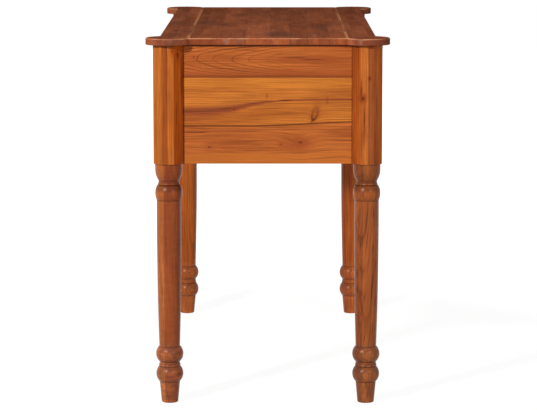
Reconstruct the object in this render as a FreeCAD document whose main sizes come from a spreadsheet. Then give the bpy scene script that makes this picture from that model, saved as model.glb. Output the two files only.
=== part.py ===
import FreeCAD, Part
import math
import operator
import os
import Sketcher
from collections import namedtuple

# A writing desk on four turned legs. An octagonal post stands on each leg, and the posts carry the end
# panels, the back, the front rails and the top. Two inner panels stand beside the knee space and make
# three bays: a stack of two drawers at each end and one wide drawer between them.
# Millimetres, +Z up, origin on the floor under the middle of the desk, drawer fronts towards -Y.

SIZES = {
    # Whole desk
    "desk_length": 1100,
    "desk_depth": 500,
    "desk_height": 760,
    # Top: a middle panel and two edge boards with a round lobe over each post
    "top_thickness": 14,
    "lobe_radius": 46,
    "edge_overhang": 19,
    "lobe_blend": 6,
    "top_upper_round": 3,
    "top_lower_round": 1.5,
    "joint_bevel": 1,
    "tongue_thickness": 5,
    "tongue_length": 8,
    # Octagonal corner posts, and how far all faces between them are set back
    "post_height": 245,
    "post_width": 61,
    "post_corner_cut": 17.9,
    "post_arris_round": 1.5,
    "post_foot_round": 1,
    "face_set_back": 22,
    # Turned legs, from the floor up
    "foot_tip_radius": 17.3,
    "foot_tip_round": 2.5,
    "foot_top_radius": 21.2,
    "foot_height": 45,
    "bead_seat_radius": 22,
    "lower_ball_radius": 28.1,
    "lower_ball_height": 31.5,
    "neck_radius": 21.2,
    "ring_radius": 22.4,
    "ring_height": 5.5,
    "lower_neck_height": 10.5,
    "upper_ball_radius": 28.4,
    "upper_ball_height": 31.5,
    "shaft_bottom_radius": 21.3,
    "shaft_top_radius": 25.3,
    "shaft_swell": 1.5,
    "bulb_radius": 28.3,
    "bulb_lower_height": 14.5,
    "bulb_upper_height": 16.5,
    "bulb_top_radius": 23.6,
    "upper_neck_height": 9,
    "cup_radius": 28.2,
    "cup_curve_height": 23.5,
    "cup_rim_height": 12,
    # Panels and rails
    "panel_thickness": 18,
    "back_thickness": 12,
    "rail_thickness": 18,
    "top_rail_height": 18,
    "divider_rail_height": 16,
    "bottom_rail_height": 20,
    "housing_depth": 6,
    "side_bay_width": 230,
    # Runners, guides and cleats
    "runner_width": 20,
    "runner_height": 14,
    "guide_height": 20,
    "cleat_width": 20,
    "cleat_height": 20,
    # Drawers
    "front_thickness": 18,
    "front_reveal": 2,
    "front_edge_round": 2,
    "drawer_side_thickness": 12,
    "drawer_side_play": 1,
    "drawer_runner_play": 0.3,
    "drawer_headroom": 8,
    "drawer_rear_room": 10,
    "drawer_back_inset": 8,
    "drawer_bottom_thickness": 6,
    "drawer_bottom_lift": 8,
    "drawer_groove_depth": 5,
    # Turned knobs
    "knob_base_radius": 11,
    "knob_base_height": 2.5,
    "knob_waist_radius": 6.5,
    "knob_waist_height": 6.5,
    "knob_flare_radius": 12.5,
    "knob_flare_height": 6.5,
    "knob_radius": 14.5,
    "knob_rim_height": 3.5,
    "knob_dome_height": 7,
    # Fasteners
    "knob_screw_radius": 2,
    "knob_screw_bite": 14,
    "knob_screw_head_radius": 4.2,
    "knob_screw_head_height": 2.4,
    "top_screw_radius": 2,
    "top_screw_bite": 9,
    "top_screw_head_radius": 4,
    "top_screw_head_height": 2.5,
    "leg_bolt_radius": 4,
    "leg_bolt_in_leg": 45,
    "leg_bolt_in_post": 36,
    "insert_radius": 6.5,
    "insert_length": 25,
}

# Points nearer than this count as one
SAME_POINT = 1e-6
QUARTER_TURN = 90
HALF_TURN = 180
FULL_TURN = 360
# Along each cleat its screws stand at these shares of its length, from the middle
CLEAT_SCREW_SHARES = (-0.3, 0.3)


class Size:
    """A length with its value and the sheet expression that gives it."""

    def __init__(self, value, text):
        self.value = float(value)
        self.text = text

    def joined(self, sign, other, work):
        if not isinstance(other, Size):
            other = Size(other, repr(other))
        return Size(work(self.value, other.value), f"({self.text} {sign} {other.text})")

    def __add__(self, other):
        return self.joined("+", other, operator.add)

    def __sub__(self, other):
        return self.joined("-", other, operator.sub)

    def __mul__(self, other):
        return self.joined("*", other, operator.mul)

    def __truediv__(self, other):
        return self.joined("/", other, operator.truediv)

    def __neg__(self):
        return Size(-self.value, f"(0 - {self.text})")

    def root(self):
        return Size(math.sqrt(self.value), f"sqrt({self.text})")


doc = FreeCAD.newDocument("desk_with_drawers")
sheet = doc.addObject("Spreadsheet::Sheet", "Sizes")
for row, (name, number) in enumerate(SIZES.items(), 1):
    sheet.set(f"A{row}", name)
    sheet.set(f"B{row}", str(number))
    sheet.setAlias(f"B{row}", name)
doc.recompute()

size = namedtuple("SheetSizes", SIZES)(*(Size(number, f"Sizes.{name}") for name, number in SIZES.items()))
zero = Size(0, "0")

# Places that several pieces share
leg_x = size.desk_length / 2 - size.lobe_radius
leg_y = size.desk_depth / 2 - size.lobe_radius
top_under = size.desk_height - size.top_thickness
leg_height = top_under - size.post_height
lobe_reach = (size.lobe_radius * size.lobe_radius - size.edge_overhang * size.edge_overhang).root()
joint_y = leg_y - lobe_reach
post_half = size.post_width / 2
face_x = leg_x + post_half - size.face_set_back
face_y = leg_y + post_half - size.face_set_back
end_inside = face_x - size.panel_thickness
back_inside = face_y - size.back_thickness
rail_inside = size.rail_thickness - face_y
post_inner_y = leg_y - post_half
bay_outer = leg_x - post_half
bay_inner = bay_outer - size.side_bay_width
knee_side = bay_inner - size.panel_thickness

# Levels of the drawer openings
top_rail_under = top_under - size.top_rail_height
lower_floor = leg_height + size.bottom_rail_height
opening_height = (top_rail_under - lower_floor - size.divider_rail_height) / 2
divider_under = lower_floor + opening_height
upper_floor = divider_under + size.divider_rail_height

SIDES = {"left": -1, "right": 1}
ENDS = {"front": -1, "back": 1}
nodes = []


def keep(label, item):
    """Give a finished piece its own name."""
    item.Label = label
    nodes.append(item)
    return item


def place(item, x, y, z):
    for axis, at in (("x", x), ("y", y), ("z", z)):
        item.setExpression(f"Placement.Base.{axis}", at.text)
    return item


def turn(item, axis, angle):
    item.Placement.Rotation = FreeCAD.Rotation(axis, angle)
    return item


def bind(item, **sizes):
    for name, value in sizes.items():
        item.setExpression(name, value.text)
    return item


def to_side(side, low, high):
    """A span along X or Y that is written for the positive side, on the wanted side."""
    return (low, high) if side > 0 else (-high, -low)


def block(label, x, y, z):
    """A square-edged piece between two planes along each axis."""
    item = doc.addObject("Part::Box", label)
    bind(item, Length=x[1] - x[0], Width=y[1] - y[0], Height=z[1] - z[0])
    return place(item, x[0], y[0], z[0])


def rod(label, radius, length):
    item = doc.addObject("Part::Cylinder", label)
    return bind(item, Radius=radius, Height=length)


def cut(label, base, *tools):
    """A piece with room cut into it for each neighbour that is let into it."""
    base.Label = f"{label}_blank"
    for tool in tools:
        item = doc.addObject("Part::Cut", f"{label}_cut")
        item.Base = base
        item.Tool = tool
        base = item
    return base


def fuse(label, base, tool):
    item = doc.addObject("Part::Fuse", label)
    item.Base = base
    item.Tool = tool
    return item


def group(label, items):
    """Equal loose pieces that share one node as separate solids."""
    item = doc.addObject("Part::Compound", label)
    item.Links = items
    return item


# Sketched outlines: corners in travel order, counterclockwise. The way to a corner is straight, or an arc
# whose centre is at a given level, or an outward arc of a given radius.
Corner = namedtuple("Corner", "across up level radius", defaults=(None, None))


def arc_centre(start, end):
    """Centre of the arc that leads from one corner to the next."""
    x0, y0, x1, y1 = start.across.value, start.up.value, end.across.value, end.up.value
    if end.level:
        y = end.level.value
        return (x0**2 - x1**2 + (y0 - y) ** 2 - (y1 - y) ** 2) / (2 * (x0 - x1)), y
    chord = math.hypot(x1 - x0, y1 - y0)
    rise = math.sqrt(end.radius.value**2 - chord**2 / 4) / chord
    return (x0 + x1) / 2 - (y1 - y0) * rise, (y0 + y1) / 2 + (x1 - x0) * rise


def arc_piece(start, end):
    """The arc as drawn, and whether it runs counterclockwise from start to end."""
    x, y = arc_centre(start, end)
    first = math.atan2(start.up.value - y, start.across.value - x)
    last = math.atan2(end.up.value - y, end.across.value - x)
    onward = (last - first) % math.tau < math.pi
    if not onward:
        first, last = last, first
    if last < first:
        last += math.tau
    reach = math.hypot(start.across.value - x, start.up.value - y)
    circle = Part.Circle(FreeCAD.Vector(x, y, 0), FreeCAD.Vector(0, 0, 1), reach)
    return Part.ArcOfCircle(circle, first, last), onward


def outline(body, plane, corners):
    """A closed sketch on one of the body's own planes, with every corner tied to the sheet."""
    sketch = body.newObject("Sketcher::SketchObject", f"{body.Name}_outline")
    support = next(item for item in body.Origin.OriginFeatures if item.Role == plane)
    sketch.AttachmentSupport = [(support, "")]
    sketch.MapMode = "FlatFace"
    # Sketch numbering: a curve's points are 1 at its start, 2 at its end and 3 at its centre; the
    # origin is point 1 of curve -1, and curves -1 and -2 are the two axes
    starts, ends, rules, texts = [], [], [], {}
    for index, start in enumerate(corners):
        end = corners[(index + 1) % len(corners)]
        if end.level or end.radius:
            piece, onward = arc_piece(start, end)
        else:
            points = [FreeCAD.Vector(corner.across.value, corner.up.value, 0) for corner in (start, end)]
            piece, onward = Part.LineSegment(*points), True
        sketch.addGeometry(piece, False)
        starts.append(1 if onward else 2)
        ends.append(2 if onward else 1)
    for index, corner in enumerate(corners):
        previous = (index - 1) % len(corners)
        rules.append(Sketcher.Constraint("Coincident", previous, ends[previous], index, starts[index]))
        for kind, at, axis in (("DistanceX", corner.across, -2), ("DistanceY", corner.up, -1)):
            if at is zero:
                rules.append(Sketcher.Constraint("PointOnObject", index, starts[index], axis))
            else:
                texts[len(rules)] = at.text
                rules.append(Sketcher.Constraint(kind, -1, 1, index, starts[index], at.value))
        following = corners[(index + 1) % len(corners)]
        if following.level:
            texts[len(rules)] = following.level.text
            rules.append(Sketcher.Constraint("DistanceY", -1, 1, index, 3, following.level.value))
        elif following.radius:
            texts[len(rules)] = following.radius.text
            rules.append(Sketcher.Constraint("Radius", index, following.radius.value))
    sketch.addConstraint(rules)
    for index, text in texts.items():
        sketch.setExpression(f"Constraints[{index}]", text)
    return sketch


def turned(label, corners):
    """A piece made on the lathe: half its section, swept round the upright axis."""
    body = doc.addObject("PartDesign::Body", label)
    sketch = outline(body, "XZ_Plane", corners)
    turning = body.newObject("PartDesign::Revolution", f"{label}_turning")
    turning.Profile = sketch
    turning.ReferenceAxis = (sketch, ["V_Axis"])
    turning.Angle = FULL_TURN
    return body


def sawn(label, plane, corners, thickness):
    """A piece of even thickness with a sketched outline."""
    body = doc.addObject("PartDesign::Body", label)
    pad = body.newObject("PartDesign::Pad", f"{label}_board")
    pad.Profile = outline(body, plane, corners)
    bind(pad, Length=thickness)
    return body


def rounded(body, radius, wanted):
    """Round those edges of a body that the test picks."""
    doc.recompute()
    base = body.Tip
    edges = [f"Edge{index}" for index, edge in enumerate(base.Shape.Edges, 1) if wanted(edge)]
    fillet = body.newObject("PartDesign::Fillet", f"{body.Name}_round")
    fillet.Base = (base, edges)
    bind(fillet, Radius=radius)
    return body


def lies_at(edge, axis, at):
    """Whether both ends of an edge have this coordinate."""
    return all(abs(getattr(vertex.Point, axis) - at.value) < SAME_POINT for vertex in edge.Vertexes)


def is_upright(edge):
    first, last = (vertex.Point for vertex in edge.Vertexes)
    return math.hypot(first.x - last.x, first.y - last.y) < abs(first.z - last.z)


def bulge_radius(half_chord, rise):
    """Radius of an arc from half its chord and its rise."""
    return (half_chord * half_chord + rise * rise) / (rise * 2)


def make_leg(label):
    """Foot, lower ball, ringed neck, upper ball, tapered shaft, bulb, ringed neck and cup."""
    lower_ball = size.foot_height + size.lower_ball_height / 2
    lower_neck = size.foot_height + size.lower_ball_height
    upper_ball_foot = lower_neck + size.lower_neck_height
    upper_ball = upper_ball_foot + size.upper_ball_height / 2
    shaft_foot = upper_ball_foot + size.upper_ball_height
    cup_curve_top = leg_height - size.cup_rim_height
    cup_foot = cup_curve_top - size.cup_curve_height
    upper_neck = cup_foot - size.upper_neck_height
    bulb_middle = upper_neck - size.bulb_upper_height
    shaft_top = bulb_middle - size.bulb_lower_height

    shaft_rise = shaft_top - shaft_foot
    shaft_flare = size.shaft_top_radius - size.shaft_bottom_radius
    half_shaft = (shaft_rise * shaft_rise + shaft_flare * shaft_flare).root() / 2

    def ringed_neck(foot):
        ring_middle = foot + size.ring_height / 2
        ring_top = foot + size.ring_height
        return [
            Corner(size.neck_radius, foot),
            Corner(size.ring_radius, ring_middle, level=ring_middle),
            Corner(size.neck_radius, ring_top, level=ring_middle),
        ]

    return turned(label, [
        Corner(zero, zero),
        Corner(size.foot_tip_radius - size.foot_tip_round, zero),
        Corner(size.foot_tip_radius, size.foot_tip_round, level=size.foot_tip_round),
        Corner(size.foot_top_radius, size.foot_height),
        Corner(size.bead_seat_radius, size.foot_height),
        Corner(size.lower_ball_radius, lower_ball, level=lower_ball),
        Corner(size.bead_seat_radius, lower_neck, level=lower_ball),
        *ringed_neck(lower_neck),
        Corner(size.neck_radius, upper_ball_foot),
        Corner(size.bead_seat_radius, upper_ball_foot),
        Corner(size.upper_ball_radius, upper_ball, level=upper_ball),
        Corner(size.bead_seat_radius, shaft_foot, level=upper_ball),
        Corner(size.shaft_bottom_radius, shaft_foot),
        Corner(size.shaft_top_radius, shaft_top, radius=bulge_radius(half_shaft, size.shaft_swell)),
        Corner(size.bulb_radius, bulb_middle, level=bulb_middle),
        Corner(size.bulb_top_radius, upper_neck, level=bulb_middle),
        *ringed_neck(upper_neck),
        Corner(size.neck_radius, cup_foot),
        Corner(size.cup_radius, cup_curve_top, level=cup_curve_top),
        Corner(size.cup_radius, leg_height),
        Corner(zero, leg_height),
    ])


def make_knob(label):
    """Base disc, hollow waist, flared cap and domed face, along the knob's own axis."""
    waist = size.knob_base_height + size.knob_waist_height
    flare = waist + size.knob_flare_height
    rim = flare + size.knob_rim_height
    return turned(label, [
        Corner(zero, zero),
        Corner(size.knob_base_radius, zero),
        Corner(size.knob_base_radius, size.knob_base_height),
        Corner(size.knob_waist_radius, waist, level=waist),
        Corner(size.knob_flare_radius, flare, level=waist),
        Corner(size.knob_radius, rim, level=rim),
        Corner(zero, rim + size.knob_dome_height,
               radius=bulge_radius(size.knob_radius, size.knob_dome_height)),
    ])


def make_top_panel():
    """The middle of the top, with a tongue along both joint lines."""
    left = size.tongue_length
    right = left + joint_y * 2
    tongue_under = (size.top_thickness - size.tongue_thickness) / 2
    tongue_over = tongue_under + size.tongue_thickness
    length = (leg_x + size.edge_overhang) * 2
    body = sawn("top_middle_panel", "YZ_Plane", [
        Corner(left, zero),
        Corner(right, zero),
        Corner(right, tongue_under),
        Corner(right + size.tongue_length, tongue_under),
        Corner(right + size.tongue_length, tongue_over),
        Corner(right, tongue_over),
        Corner(right, size.top_thickness),
        Corner(left, size.top_thickness),
        Corner(left, tongue_over),
        Corner(zero, tongue_over),
        Corner(zero, tongue_under),
        Corner(left, tongue_under),
    ], length)

    def crosses_end(edge, level):
        return lies_at(edge, "z", level) and (lies_at(edge, "x", zero) or lies_at(edge, "x", length))

    rounded(body, size.top_upper_round, lambda edge: crosses_end(edge, size.top_thickness))
    rounded(body, size.top_lower_round, lambda edge: crosses_end(edge, zero))
    return place(body, -(length / 2), -right + joint_y, top_under)


def make_edge_board(label, end):
    """A long board of the top whose ends swell into a round lobe over each post."""
    tip = size.lobe_radius - size.edge_overhang
    joint = size.lobe_radius + lobe_reach
    far_leg = size.desk_length - size.lobe_radius
    body = sawn(label, "XY_Plane", [
        Corner(tip, joint),
        Corner(zero, size.lobe_radius, radius=size.lobe_radius),
        Corner(joint, tip, radius=size.lobe_radius),
        Corner(far_leg - lobe_reach, tip),
        Corner(far_leg, zero, radius=size.lobe_radius),
        Corner(size.desk_length - tip, joint, radius=size.lobe_radius),
    ], size.top_thickness)

    def on_rim(edge, level):
        return lies_at(edge, "z", level) and not lies_at(edge, "y", joint)

    rounded(body, size.lobe_blend, lambda edge: is_upright(edge) and lies_at(edge, "y", tip))
    rounded(body, size.top_upper_round, lambda edge: on_rim(edge, size.top_thickness))
    rounded(body, size.top_lower_round, lambda edge: on_rim(edge, zero))
    if end > 0:
        turn(body, FreeCAD.Vector(0, 0, 1), HALF_TURN)
        return place(body, size.desk_length / 2, size.desk_depth / 2, top_under)
    return place(body, -(size.desk_length / 2), -(size.desk_depth / 2), top_under)


def make_post(label, x, y):
    """An octagonal post with softened arrises, flats square to the desk."""
    low = size.post_corner_cut
    high = size.post_width - size.post_corner_cut
    body = sawn(label, "XY_Plane", [
        Corner(low, zero),
        Corner(high, zero),
        Corner(size.post_width, low),
        Corner(size.post_width, high),
        Corner(high, size.post_width),
        Corner(low, size.post_width),
        Corner(zero, high),
        Corner(zero, low),
    ], size.post_height)
    rounded(body, size.post_arris_round, is_upright)
    rounded(body, size.post_foot_round, lambda edge: lies_at(edge, "z", zero))
    return place(body, x - post_half, y - post_half, leg_height)


def make_front(label, x, z):
    """A drawer front with softened edges on its face."""
    width = x[1] - x[0]
    height = z[1] - z[0]
    body = sawn(label, "XZ_Plane", [
        Corner(zero, zero),
        Corner(width, zero),
        Corner(width, height),
        Corner(zero, height),
    ], size.front_thickness)
    rounded(body, size.front_edge_round, lambda edge: lies_at(edge, "y", -size.front_thickness))
    return place(body, x[0], size.front_thickness - face_y, z[0])


def make_drawer(name, bay, floor):
    """Front, sides, back, bottom, knob and knob screw of one drawer."""
    front_x = (bay[0] + size.front_reveal, bay[1] - size.front_reveal)
    front_z = (floor + size.front_reveal, floor + opening_height - size.front_reveal)
    front_inside = size.front_thickness - face_y
    box_end = back_inside - size.drawer_rear_room
    box_x = (bay[0] + size.drawer_side_play, bay[1] - size.drawer_side_play)
    inside_x = (box_x[0] + size.drawer_side_thickness, box_x[1] - size.drawer_side_thickness)
    side_y = (front_inside - size.housing_depth, box_end)
    side_z = (floor + size.drawer_runner_play, floor + opening_height - size.drawer_headroom)
    back_y = (box_end - size.drawer_back_inset - size.drawer_side_thickness, box_end - size.drawer_back_inset)
    bottom_z = (side_z[0] + size.drawer_bottom_lift,
                side_z[0] + size.drawer_bottom_lift + size.drawer_bottom_thickness)
    let_in_x = (inside_x[0] - size.drawer_groove_depth, inside_x[1] + size.drawer_groove_depth)

    bottom = block(f"{name}_bottom", let_in_x, (front_inside - size.drawer_groove_depth, back_y[1]), bottom_z)
    back = block(f"{name}_back", let_in_x, back_y, (bottom_z[1], side_z[1]))
    side_blanks = [block(f"{name}_side_{number}", span, side_y, side_z)
                   for number, span in enumerate(((box_x[0], inside_x[0]), (inside_x[1], box_x[1])), 1)]

    middle_x = (front_x[0] + front_x[1]) / 2
    middle_z = (front_z[0] + front_z[1]) / 2
    shank = rod(f"{name}_knob_shank", size.knob_screw_radius,
                size.knob_screw_head_height + size.front_thickness + size.knob_screw_bite)
    head = rod(f"{name}_knob_head", size.knob_screw_head_radius, size.knob_screw_head_height)
    for item in (shank, head):
        turn(item, FreeCAD.Vector(1, 0, 0), QUARTER_TURN)
        place(item, middle_x, front_inside + size.knob_screw_head_height, middle_z)
    screw = fuse(f"{name}_knob_screw", shank, head)
    knob = turn(make_knob(f"{name}_knob"), FreeCAD.Vector(1, 0, 0), QUARTER_TURN)
    place(knob, middle_x, -face_y, middle_z)

    front = make_front(f"{name}_front", front_x, front_z)
    sides = [cut(f"{name}_side", side, back, bottom) for side in side_blanks]
    keep(f"{name}_front", cut(f"{name}_front", front, *side_blanks, bottom, screw))
    keep(f"{name}_sides", group(f"{name}_sides", sides))
    keep(f"{name}_back", back)
    keep(f"{name}_bottom", bottom)
    keep(f"{name}_knob", cut(f"{name}_knob", knob, screw))
    keep(f"{name}_knob_screw", screw)


# Front rails and back panels, let into the posts at their ends
rail_y = (-face_y, rail_inside)
back_y = (back_inside, face_y)
post_to_post = (-bay_outer - size.housing_depth, bay_outer + size.housing_depth)
top_rail = keep("front_top_rail", block("front_top_rail", post_to_post, rail_y, (top_rail_under, top_under)))
middle_rail = keep("front_middle_rail", block(
    "front_middle_rail", (-knee_side - size.housing_depth, knee_side + size.housing_depth), rail_y,
    (divider_under, upper_floor)))
upper_back = keep("back_upper_panel", block(
    "back_upper_panel", post_to_post, back_y, (divider_under, top_under)))

# What is let into a post or an inner panel on each side
let_into_front, let_into_back, end_panels = {}, {}, {}
for side_name, side in SIDES.items():
    rail_x = to_side(side, bay_inner - size.housing_depth, bay_outer + size.housing_depth)
    divider = keep(f"front_divider_rail_{side_name}", block(
        f"front_divider_rail_{side_name}", rail_x, rail_y, (divider_under, upper_floor)))
    bottom_rail = keep(f"front_bottom_rail_{side_name}", block(
        f"front_bottom_rail_{side_name}", rail_x, rail_y, (leg_height, lower_floor)))
    lower_back = keep(f"back_lower_panel_{side_name}", block(
        f"back_lower_panel_{side_name}", to_side(side, knee_side, bay_outer + size.housing_depth), back_y,
        (leg_height, divider_under)))
    end_panels[side_name] = keep(f"end_panel_{side_name}", block(
        f"end_panel_{side_name}", to_side(side, end_inside, face_x),
        (-post_inner_y - size.housing_depth, post_inner_y + size.housing_depth), (leg_height, top_under)))
    let_into_front[side_name] = (top_rail, divider, bottom_rail)
    let_into_back[side_name] = (upper_back, lower_back)
    inner_panel = block(f"inner_panel_{side_name}", to_side(side, knee_side, bay_inner),
                        (-face_y, back_inside), (leg_height, top_under))
    keep(f"inner_panel_{side_name}", cut(f"inner_panel_{side_name}", inner_panel, *let_into_front[side_name],
                                         middle_rail))

# Legs and posts, with a hanger bolt in each leg that screws into an insert in its post
bolts, inserts = [], []
for end_name, end in ENDS.items():
    for side_name, side in SIDES.items():
        corner = f"{end_name}_{side_name}"
        x = leg_x * side
        y = leg_y * end
        bolt = rod(f"leg_bolt_{corner}", size.leg_bolt_radius, size.leg_bolt_in_leg + size.leg_bolt_in_post)
        bolts.append(place(bolt, x, y, leg_height - size.leg_bolt_in_leg))
        sleeve = place(rod(f"insert_{corner}", size.insert_radius, size.insert_length), x, y, leg_height)
        inserts.append(cut(f"insert_{corner}", sleeve, bolt))
        leg = place(make_leg(f"leg_{corner}"), x, y, zero)
        keep(f"leg_{corner}", cut(f"leg_{corner}", leg, bolt))
        neighbours = let_into_front[side_name] if end < 0 else let_into_back[side_name]
        post = make_post(f"post_{corner}", x, y)
        keep(f"post_{corner}", cut(f"post_{corner}", post, end_panels[side_name], *neighbours, sleeve, bolt))
keep("leg_bolts", group("leg_bolts", bolts))
keep("leg_inserts", group("leg_inserts", inserts))

# Runners under the drawer sides, guides beside them, and cleats under the top that hold it down
runners, cleats = [], []
long_y = (rail_inside, back_inside)
between_posts_y = (-post_inner_y, post_inner_y)
for side_name, side in SIDES.items():
    for level_name, floor in (("lower", lower_floor), ("upper", upper_floor)):
        level = f"{side_name}_{level_name}"
        under = (floor - size.runner_height, floor)
        runners.append(block(f"runner_inner_{level}", to_side(side, bay_inner, bay_inner + size.runner_width),
                             long_y, under))
        outer_x = to_side(side, bay_outer - size.runner_width, end_inside)
        runners.append(block(f"runner_outer_{level}", outer_x, between_posts_y, under))
        runners.append(block(f"guide_{level}", to_side(side, bay_outer, end_inside), between_posts_y,
                             (floor, floor + size.guide_height)))
    middle_x = to_side(side, knee_side - size.runner_width, knee_side)
    runners.append(block(f"runner_middle_{side_name}", middle_x, long_y,
                         (upper_floor - size.runner_height, upper_floor)))
    for place_name, low, high, along in (
        ("middle", knee_side - size.cleat_width, knee_side, long_y),
        ("inner", bay_inner, bay_inner + size.cleat_width, long_y),
        ("outer", end_inside - size.cleat_width, end_inside, between_posts_y),
    ):
        cleats.append((f"cleat_{place_name}_{side_name}", to_side(side, low, high), along))

cleat_under = top_under - size.cleat_height
cleat_pieces, top_screws = [], []
for label, across, along in cleats:
    screws = []
    for share in CLEAT_SCREW_SHARES:
        shank = rod(f"{label}_screw_shank", size.top_screw_radius, size.cleat_height + size.top_screw_bite)
        head = doc.addObject("Part::Cone", f"{label}_screw_head")
        bind(head, Radius1=size.top_screw_head_radius, Radius2=size.top_screw_radius,
             Height=size.top_screw_head_height)
        for item in (shank, head):
            place(item, (across[0] + across[1]) / 2, (between_posts_y[1] - between_posts_y[0]) * share,
                  cleat_under)
        screws.append(fuse(f"{label}_screw", shank, head))
    cleat_pieces.append(cut(label, block(label, across, along, (cleat_under, top_under)), *screws))
    top_screws.extend(screws)
keep("drawer_runners", group("drawer_runners", runners))
keep("top_cleats", group("top_cleats", cleat_pieces))
screw_group = keep("top_screws", group("top_screws", top_screws))

# The top, with a small V-groove run along each joint line
top_panel = make_top_panel()
grooves = []
for end_name, end in ENDS.items():
    label = f"top_{end_name}_board"
    groove_side = size.joint_bevel * 2
    groove = doc.addObject("Part::Box", f"{label}_groove")
    bind(groove, Length=size.desk_length, Width=groove_side, Height=groove_side)
    turn(groove, FreeCAD.Vector(1, 0, 0), QUARTER_TURN / 2)
    place(groove, -(size.desk_length / 2), joint_y * end, size.desk_height - size.joint_bevel)
    grooves.append(groove)
    keep(label, cut(label, make_edge_board(label, end), top_panel, groove))
keep("top_middle_panel", cut("top_middle_panel", top_panel, screw_group, *grooves))

# Drawers
for side_name, side in SIDES.items():
    for level_name, floor in (("lower", lower_floor), ("upper", upper_floor)):
        make_drawer(f"{side_name}_{level_name}_drawer", to_side(side, bay_inner, bay_outer), floor)
make_drawer("middle_drawer", (-knee_side, knee_side), upper_floor)

doc.recompute()
for item in doc.Objects:
    if "Invalid" in item.State or "Error" in item.State:
        raise RuntimeError(f"{item.Label}: {item.State}")
for item in nodes:
    if item.Shape.isNull() or not item.Shape.isValid() or not item.Shape.Solids:
        raise RuntimeError(f"{item.Label}: no valid solid")

os.makedirs("parts", exist_ok=True)
for item in nodes:
    item.Shape.exportStep(f"parts/{item.Label}.step")
print(f"{len(nodes)} pieces written")
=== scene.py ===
import math
from collections import namedtuple
from functools import partial
from types import SimpleNamespace

import bpy
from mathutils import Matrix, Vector


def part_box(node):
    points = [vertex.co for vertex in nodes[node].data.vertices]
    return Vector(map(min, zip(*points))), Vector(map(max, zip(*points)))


# The desk stands with its drawer fronts towards -Y. Metres, as in the frame.
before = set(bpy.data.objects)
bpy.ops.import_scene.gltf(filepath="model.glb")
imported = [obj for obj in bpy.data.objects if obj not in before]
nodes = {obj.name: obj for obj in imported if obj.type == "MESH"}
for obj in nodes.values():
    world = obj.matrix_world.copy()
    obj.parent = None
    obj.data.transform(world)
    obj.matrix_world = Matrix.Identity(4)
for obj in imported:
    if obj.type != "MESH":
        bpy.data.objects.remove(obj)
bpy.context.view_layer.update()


def middle(name):
    low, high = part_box(name)
    return (low + high) / 2


def dress(name, material):
    nodes[name].material_slots[0].material = material


def tint(red, green, blue):
    """A colour written as it looks on a screen, from 0 to 255, for a shader socket."""
    def linear(level):
        share = level / 255
        return share / 12.92 if share <= 0.04045 else ((share + 0.055) / 1.055) ** 2.4
    return linear(red), linear(green), linear(blue), 1.0


class Value:
    """One output of a recipe's nodes. Python's operators on it add Math nodes."""

    def __init__(self, recipe, socket):
        self.recipe = recipe
        self.socket = socket

    def other(self, output):
        return Value(self.recipe, self.socket.node.outputs[output])

    def math(self, operation, *others):
        return self.recipe.math(operation, self, *others)

    def __add__(self, other):
        return self.math("ADD", other)

    def __sub__(self, other):
        return self.math("SUBTRACT", other)

    def __rsub__(self, other):
        return self.recipe.math("SUBTRACT", other, self)

    def __mul__(self, other):
        return self.math("MULTIPLY", other)

    def __truediv__(self, other):
        return self.math("DIVIDE", other)

    def __abs__(self):
        return self.math("ABSOLUTE")

    def __gt__(self, limit):
        return self.math("GREATER_THAN", limit)

    def __lt__(self, limit):
        return self.math("LESS_THAN", limit)

    __radd__ = __add__
    __rmul__ = __mul__

    def rise(self, low, high):
        """0 below one level, 1 above the other, smooth between."""
        return self.recipe.node("ShaderNodeMapRange", {"interpolation_type": "SMOOTHSTEP"},
                                {"Value": self, "From Min": low, "From Max": high})

    def fall(self, low, high):
        return 1 - self.rise(low, high)

    def band(self, low, high, soft):
        """1 between two levels, with soft edges."""
        return self.rise(low - soft, low + soft) * self.fall(high - soft, high + soft)


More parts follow.
